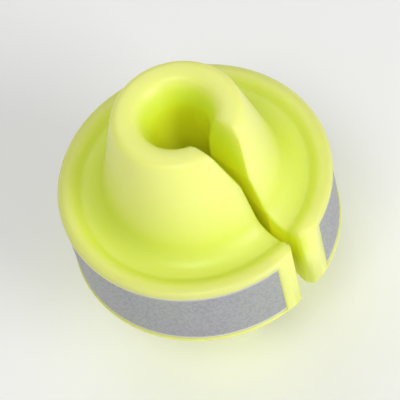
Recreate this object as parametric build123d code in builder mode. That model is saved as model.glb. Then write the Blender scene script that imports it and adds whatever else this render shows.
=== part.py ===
from build123d import *

import os
from math import sqrt

# Clip-on spoke reflector, in millimetres. A moulded bead with a tapered nose on each side of a round
# rim slides over a wheel spoke through a slit, and a strip of reflective tape is seated round the rim.
# The bead stands on one nose with its bore along +Z, and the slit faces -Y.

# Spoke and bore
spoke_dia = 2.0
spoke_clearance = 0.2
mouth_dia = 3.5
mouth_depth = 1.5
mouth_chamfer = 0.2

# Rim, with a lip on each side of the tape and a dished face inside each lip
rim_dia = 12.0
lip_width = 0.3
lip_chamfer = 0.16
dish_depth = 0.25
dish_run = 0.25
dish_width = 0.95

# Noses
nose_length = 4.8
nose_tip_dia = 5.5
tip_round = 0.45

# Slit, its rounded lips at the rim and its V-shaped lead-in at each tip
slit_width = 0.45
slit_lip_round = 0.6
notch_width = 1.6
notch_depth = 2.4
edge_chamfer = 0.1

# Reflective tape and the seat that it is stuck into
tape_width = 3.3
tape_thickness = 0.2
tape_recess = 0.05
tape_side_gap = 0.05
tape_end_gap = 0.05
land_width = 1.1

# Sizes that follow
bore_radius = spoke_dia / 2 + spoke_clearance
rim_radius = rim_dia / 2
seat_radius = rim_radius - tape_recess - tape_thickness
seat_width = tape_width + 2 * tape_side_gap
rim_half_width = seat_width / 2 + lip_width
half_length = rim_half_width + nose_length
lip_crest = slit_lip_round + 0.1
dish_floor = rim_half_width - dish_depth
dish_radius = rim_radius - lip_crest - dish_run
nose_base_radius = dish_radius - dish_width
nose_root_round = 1.1 * dish_width
land_span = slit_width + 2 * land_width
lip_centre_x = slit_width / 2 + slit_lip_round
lip_centre_y = -sqrt((rim_radius - slit_lip_round) ** 2 - lip_centre_x**2)
lip_span = 2 * lip_centre_x * rim_radius / (rim_radius - slit_lip_round)

# Planes through the middle of the bead: across the bore, and along it towards the slit
middle = Plane.XY.offset(half_length)
lengthwise = Plane(origin=(0, 0, half_length), x_dir=(1, 0, 0), z_dir=(0, -1, 0))
towards_slit = (Align.CENTER, Align.MAX)

os.makedirs("parts", exist_ok=True)

with BuildPart() as bead_body:
    # Half section from the middle of the bore, round the nose and the rim, mirrored to the other side
    with BuildSketch(lengthwise):
        with BuildLine():
            FilletPolyline(
                (bore_radius, 0),
                (bore_radius, half_length - mouth_depth),
                (mouth_dia / 2, half_length),
                (nose_tip_dia / 2, half_length),
                (nose_base_radius, dish_floor),
                (dish_radius, dish_floor),
                (rim_radius - lip_crest, rim_half_width),
                (rim_radius, rim_half_width),
                (rim_radius, 0),
                radius=[0, 0, tip_round, nose_root_round, 0, 0, 0],
            )
            mirror(about=Plane.XZ)
        make_face()
    revolve(axis=Axis.Z)

    # Bevelled mouth at each end of the bore, and both edges of each lip
    chamfer(edges().filter_by(Plane.XY).group_by(SortBy.RADIUS)[1], mouth_chamfer)
    rings = edges().filter_by(Plane.XY).group_by(SortBy.RADIUS)
    chamfer(rings[-2] + rings[-1], lip_chamfer)

    # Slit through one side, with its lips rounded where they meet the rim
    with BuildSketch(middle):
        Rectangle(slit_width, rim_dia, align=towards_slit)
        with Locations((0, lip_centre_y)):
            Rectangle(lip_span, rim_dia, align=towards_slit)
        with Locations((-lip_centre_x, lip_centre_y), (lip_centre_x, lip_centre_y)):
            Circle(slit_lip_round, mode=Mode.SUBTRACT)
    extrude(amount=half_length, both=True, mode=Mode.SUBTRACT)

    # V-shaped lead-in from each tip down to the slit
    with BuildSketch(lengthwise):
        with BuildLine():
            Polyline(
                (-notch_width / 2, half_length),
                (notch_width / 2, half_length),
                (slit_width / 2, half_length - notch_depth),
                (-slit_width / 2, half_length - notch_depth),
                close=True,
            )
        make_face()
        mirror(about=Plane.XZ)
    extrude(amount=rim_radius, mode=Mode.SUBTRACT)

    # Bevelled edges round the flat walls of the slit and of its lead-ins
    cut_walls = faces().filter_by(GeomType.PLANE).filter_by(Axis.Z, reverse=True)
    chamfer(cut_walls.edges(), edge_chamfer)

    # Seat for the tape, stopped short of the slit by a land on each side
    with BuildSketch(middle):
        Circle(rim_dia)
        Circle(seat_radius, mode=Mode.SUBTRACT)
        Rectangle(land_span, 2 * rim_dia, align=towards_slit, mode=Mode.SUBTRACT)
    extrude(amount=seat_width / 2, both=True, mode=Mode.SUBTRACT)
bead_body.part.label = "bead_body"
export_step(bead_body.part, "parts/bead_body.step")

with BuildPart() as reflective_band:
    # Strip bent round the seat, open at the slit
    with BuildSketch(middle):
        Circle(seat_radius + tape_thickness)
        Circle(seat_radius, mode=Mode.SUBTRACT)
        Rectangle(land_span + 2 * tape_end_gap, rim_dia, align=towards_slit, mode=Mode.SUBTRACT)
    extrude(amount=tape_width / 2, both=True)
reflective_band.part.label = "reflective_band"
export_step(reflective_band.part, "parts/reflective_band.step")
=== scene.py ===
"""Looks of a clip-on spoke reflector: a moulded fluorescent bead with a band of reflective tape."""

import math

import bmesh
import bpy
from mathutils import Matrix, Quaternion, Vector


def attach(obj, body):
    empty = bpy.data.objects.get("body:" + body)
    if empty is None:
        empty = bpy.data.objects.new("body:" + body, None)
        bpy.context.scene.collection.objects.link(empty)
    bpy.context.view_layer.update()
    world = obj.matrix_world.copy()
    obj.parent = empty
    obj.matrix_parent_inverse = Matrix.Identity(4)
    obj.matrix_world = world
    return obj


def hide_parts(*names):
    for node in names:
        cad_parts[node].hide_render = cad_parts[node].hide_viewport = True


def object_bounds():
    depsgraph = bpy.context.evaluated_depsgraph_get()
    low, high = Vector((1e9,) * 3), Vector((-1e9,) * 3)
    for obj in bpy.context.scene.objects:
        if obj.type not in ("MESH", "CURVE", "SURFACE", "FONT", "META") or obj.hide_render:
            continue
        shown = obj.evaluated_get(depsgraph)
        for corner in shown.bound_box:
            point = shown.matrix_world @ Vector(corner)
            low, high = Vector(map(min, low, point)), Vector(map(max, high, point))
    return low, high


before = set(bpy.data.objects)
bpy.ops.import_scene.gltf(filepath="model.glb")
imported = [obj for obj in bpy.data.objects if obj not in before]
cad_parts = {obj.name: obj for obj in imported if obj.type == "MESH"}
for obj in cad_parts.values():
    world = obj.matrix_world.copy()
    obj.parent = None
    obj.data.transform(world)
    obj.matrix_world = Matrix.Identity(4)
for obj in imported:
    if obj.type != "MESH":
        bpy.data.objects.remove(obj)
cad_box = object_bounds()
low, high = cad_box
centre = (low + high) / 2
reach = (high - low).length / 2

MM = 0.001

# Plastic: painted shade as a dark tint deep in the hollows and painted light as a pale tint on thin walls,
# how far and how much those count, and its clouds and grain
# The hollow tint is painted shade and the thin tint is painted light; the thick tint is the plastic's own
# lime
PAINTED_SHADE_TINT = (0.83, 0.86, 0.02)
THICK_TINT = (0.70, 0.845, 0.035)
PAINTED_GLOW_TINT = (0.85, 0.89, 0.24)
PAINTED_SHADE_REACH = 7 * MM
PAINTED_GLOW_REACH = 3 * MM
PAINTED_GLOW_SHARE = 0.35
CLOUD_SHARE = 0.2
CLOUDS_PER_METRE = 420
GRAINS_PER_METRE = 6500
SCATTER_DEPTH = 2 * MM
SCATTER_COLOUR = (1.0, 0.95, 0.15)

# Tape: the greys that it drifts between, the paler grey along its top and bottom edges, and its glass beads
LAVENDER_GREY = (0.385, 0.375, 0.43)
GREEN_GREY = (0.41, 0.43, 0.40)
EDGE_GREY = (0.72, 0.72, 0.71)
EDGE_WIDTH = 0.16 * MM
EDGE_CORE = 0.04 * MM
DRIFTS_PER_METRE = 260
BEADS_PER_METRE = 7000
BEAD_SPAN = (0.0, 0.8)

# Depth of the bumps in both materials, and the gap that a weld closes
BUMP_DEPTH = 0.02 * MM
WELD_GAP = 0.0001 * MM

# Stage: the floor, the lamps and the sky, and the camera with its clipping as shares of its distance
FLOOR_REACHES = 60
FLOOR_COLOUR = (0.93, 0.93, 0.92, 1)
LAMP_DISTANCE = 250 * MM
SKY_COLOUR = (1, 1, 1, 1)
SKY_STRENGTH = 0.4
LENS = 200
VIEW_SPAN = 17.5 * MM
NEAR_SHARE = 0.05
FAR_SHARE = 100

# Sockets of a Mix node when it mixes colours
MIX_FACTOR = 0
MIX_FIRST = 6
MIX_SECOND = 7
MIX_RESULT = 2


def feed(tree, node, inputs):
    """Link each input that is given a socket, and set each one that is given a value."""
    for name, value in inputs.items():
        if isinstance(value, bpy.types.NodeSocket):
            tree.links.new(value, node.inputs[name])
        else:
            node.inputs[name].default_value = value


def add(tree, kind, inputs, **settings):
    """A shader node with its settings and its inputs."""
    node = tree.nodes.new(kind)
    for name, value in settings.items():
        setattr(node, name, value)
    feed(tree, node, inputs)
    return node


def new_material(name):
    """An empty node material, as (material, node tree, principled shader)."""
    material = bpy.data.materials.new(name)
    material.use_nodes = True
    tree = material.node_tree
    return material, tree, tree.nodes["Principled BSDF"]


def ramp(tree, source, *stops):
    """The source's colour on a ramp through stops of (position, colour), in rising order."""
    node = add(tree, "ShaderNodeValToRGB", {"Fac": source})
    elements = node.color_ramp.elements
    while len(elements) < len(stops):
        elements.new(0.5)
    for element, (position, colour) in zip(elements, stops):
        element.position = position
        element.color = (*colour, 1)
    return node.outputs["Color"]


def remap(tree, source, span, values=(0.0, 1.0)):
    """The source, with the two ends of its span carried to the two values."""
    ends = {"From Min": span[0], "From Max": span[1], "To Min": values[0], "To Max": values[1]}
    return add(tree, "ShaderNodeMapRange", {"Value": source, **ends}).outputs["Result"]


def math_node(tree, operation, *operands):
    """The result of a sum on sockets and numbers."""
    return add(tree, "ShaderNodeMath", dict(enumerate(operands)), operation=operation).outputs["Value"]


def openness(tree, distance, inside=False):
    """How open the space round a point is within a distance, outside the piece or inside its walls."""
    settings = {"samples": 8, "only_local": True, "inside": inside}
    return add(tree, "ShaderNodeAmbientOcclusion", {"Distance": distance}, **settings).outputs["AO"]


def noise(tree, place, scale, detail):
    """Soft noise at a number of lumps per metre."""
    inputs = {"Vector": place, "Scale": scale, "Detail": detail}
    return add(tree, "ShaderNodeTexNoise", inputs).outputs["Fac"]


def bumps(tree, height, strength, **settings):
    """The normal of a fine relief."""
    inputs = {"Height": height, "Strength": strength, "Distance": BUMP_DEPTH}
    return add(tree, "ShaderNodeBump", inputs, **settings).outputs["Normal"]


def bead_plastic():
    """Fluorescent yellow plastic: translucent, slightly cloudy, with a soft gloss and a fine eggshell, and
    with painted shade deep in the hollows and painted light on thin walls and edges.
    """
    material, tree, shader = new_material("bead_plastic_moulded")
    place = add(tree, "ShaderNodeTexCoord", {}).outputs["Object"]

    # Painted shade: dark yellow deep in the hollows, lime over thick stretches; painted light: pale lemon
    # on thin walls and edges
    hollow = openness(tree, PAINTED_SHADE_REACH)
    thick = openness(tree, PAINTED_GLOW_REACH, inside=True)
    cloud = noise(tree, place, CLOUDS_PER_METRE, detail=3)
    painted_shade_and_glow = math_node(tree, "MULTIPLY_ADD", thick, -PAINTED_GLOW_SHARE, hollow)
    painted_shade_glow_and_clouds = math_node(tree, "MULTIPLY_ADD", cloud, CLOUD_SHARE, painted_shade_and_glow)
    tint = ramp(tree, painted_shade_glow_and_clouds, (0.15, PAINTED_SHADE_TINT), (0.45, THICK_TINT), (0.95, PAINTED_GLOW_TINT))

    grain = noise(tree, place, GRAINS_PER_METRE, detail=2)
    feed(tree, shader, {
        "Base Color": tint,
        "Roughness": remap(tree, cloud, (0.3, 0.7), (0.46, 0.34)),
        "Normal": bumps(tree, grain, strength=0.2),
        "IOR": 1.5,
        "Subsurface Weight": 0.5,
        "Subsurface Radius": SCATTER_COLOUR,
        "Subsurface Scale": SCATTER_DEPTH,
    })
    return material


def reflective_tape(strip):
    """Silver-grey tape covered with tiny glass beads, faintly tinted, and paler along its top and bottom
    edges.
    """
    material, tree, shader = new_material("reflective_tape_beaded")
    place = add(tree, "ShaderNodeTexCoord", {}).outputs["Object"]

    # Fine speckle of the beads over a slow drift between lavender and green greys
    cells = add(tree, "ShaderNodeTexVoronoi", {"Vector": place, "Scale": BEADS_PER_METRE})
    beads = cells.outputs["Distance"]
    drift = noise(tree, place, DRIFTS_PER_METRE, detail=2)
    tint = ramp(tree, drift, (0.35, LAVENDER_GREY), (0.65, GREEN_GREY))
    speckle = remap(tree, beads, BEAD_SPAN, (1.08, 0.88))
    toned = add(tree, "ShaderNodeVectorMath", {"Vector": tint, "Scale": speckle}, operation="SCALE")

    # Paler line along the top and bottom edges, by height from the middle of the strip
    heights = [vertex.co.z for vertex in strip.data.vertices]
    middle = (max(heights) + min(heights)) / 2
    half = (max(heights) - min(heights)) / 2
    height = add(tree, "ShaderNodeSeparateXYZ", {"Vector": place}).outputs["Z"]
    away = math_node(tree, "ABSOLUTE", math_node(tree, "SUBTRACT", height, middle))
    edge = remap(tree, away, (half - EDGE_WIDTH, half - EDGE_CORE))
    mixed = {MIX_FACTOR: edge, MIX_FIRST: toned.outputs["Vector"], MIX_SECOND: (*EDGE_GREY, 1)}
    pale = add(tree, "ShaderNodeMix", mixed, data_type="RGBA")

    feed(tree, shader, {
        "Base Color": pale.outputs[MIX_RESULT],
        "Roughness": remap(tree, beads, BEAD_SPAN, (0.34, 0.56)),
        "Normal": bumps(tree, beads, strength=0.35, invert=True),
        "Metallic": 0.3,
    })
    return material


def soft_copy(node, name, material):
    """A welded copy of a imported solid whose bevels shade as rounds."""
    mesh = bpy.data.meshes.new(name)
    form = bmesh.new()
    form.from_mesh(node.data)
    bmesh.ops.remove_doubles(form, verts=form.verts, dist=WELD_GAP)
    for face in form.faces:
        face.smooth = True
    form.to_mesh(mesh)
    form.free()
    mesh.materials.append(material)
    piece = bpy.data.objects.new(name, mesh)
    bpy.context.scene.collection.objects.link(piece)
    normals = piece.modifiers.new("even_normals", "WEIGHTED_NORMAL")
    normals.mode = "FACE_AREA_WITH_ANGLE"
    normals.weight = 100
    normals.keep_sharp = True
    return piece


def floor():
    """A plain pale floor that takes the soft shadow."""
    size = FLOOR_REACHES * reach
    mesh = bpy.data.meshes.new("floor")
    corners = [(-size, -size, 0), (size, -size, 0), (size, size, 0), (-size, size, 0)]
    mesh.from_pydata(corners, [], [(0, 1, 2, 3)])
    plane = bpy.data.objects.new("floor", mesh)
    plane.location = (0, 0, low.z)
    bpy.context.scene.collection.objects.link(plane)
    material, tree, shader = new_material("floor_pale")
    feed(tree, shader, {"Base Color": FLOOR_COLOUR, "Roughness": 0.8, "Specular IOR Level": 0.1})
    mesh.materials.append(material)


def aim(holder, azimuth, elevation, distance, lean=0):
    """Stand a lamp or a camera off from the bead and point it there. Azimuth 0 is in front, on -Y."""
    turn = math.radians(azimuth)
    rise = math.radians(elevation)
    back = Vector((math.sin(turn) * math.cos(rise), -math.cos(turn) * math.cos(rise), math.sin(rise)))
    holder.location = centre + back * distance
    holder.rotation_mode = "QUATERNION"
    holder.rotation_quaternion = back.to_track_quat("Z", "Y") @ Quaternion((0, 0, 1), math.radians(lean))
    bpy.context.scene.collection.objects.link(holder)


def lamp(name, azimuth, elevation, size, watts):
    """A soft square lamp."""
    light = bpy.data.lights.new(name, "AREA")
    light.shape = "SQUARE"
    light.size = size
    light.energy = watts
    aim(bpy.data.objects.new(name, light), azimuth, elevation, LAMP_DISTANCE)


def camera(azimuth, elevation, lean):
    """A long lens at the photograph's angle. lean turns the picture."""
    data = bpy.data.cameras.new("camera")
    data.lens = LENS
    distance = VIEW_SPAN * data.lens / data.sensor_width
    data.clip_start = distance * NEAR_SHARE
    data.clip_end = distance * FAR_SHARE
    holder = bpy.data.objects.new("camera", data)
    aim(holder, azimuth, elevation, distance, lean)
    bpy.context.scene.camera = holder


def sky():
    """Even light from all round."""
    world = bpy.data.worlds.new("studio")
    world.use_nodes = True
    tree = world.node_tree
    feed(tree, tree.nodes["Background"], {"Color": SKY_COLOUR, "Strength": SKY_STRENGTH})
    bpy.context.scene.world = world


body = soft_copy(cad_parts["bead_body"], "bead_moulding", bead_plastic())
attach(body, "root")
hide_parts("bead_body")

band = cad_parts["reflective_band"]
band.data.materials.clear()
band.data.materials.append(reflective_tape(band))

floor()
lamp("key", azimuth=6, elevation=26, size=120 * MM, watts=0.33)
lamp("top", azimuth=-58, elevation=62, size=100 * MM, watts=0.17)
lamp("back", azimuth=150, elevation=50, size=160 * MM, watts=0.08)
sky()
camera(azimuth=-36, elevation=56.5, lean=-16)
bpy.context.scene.view_settings.view_transform = "Standard"
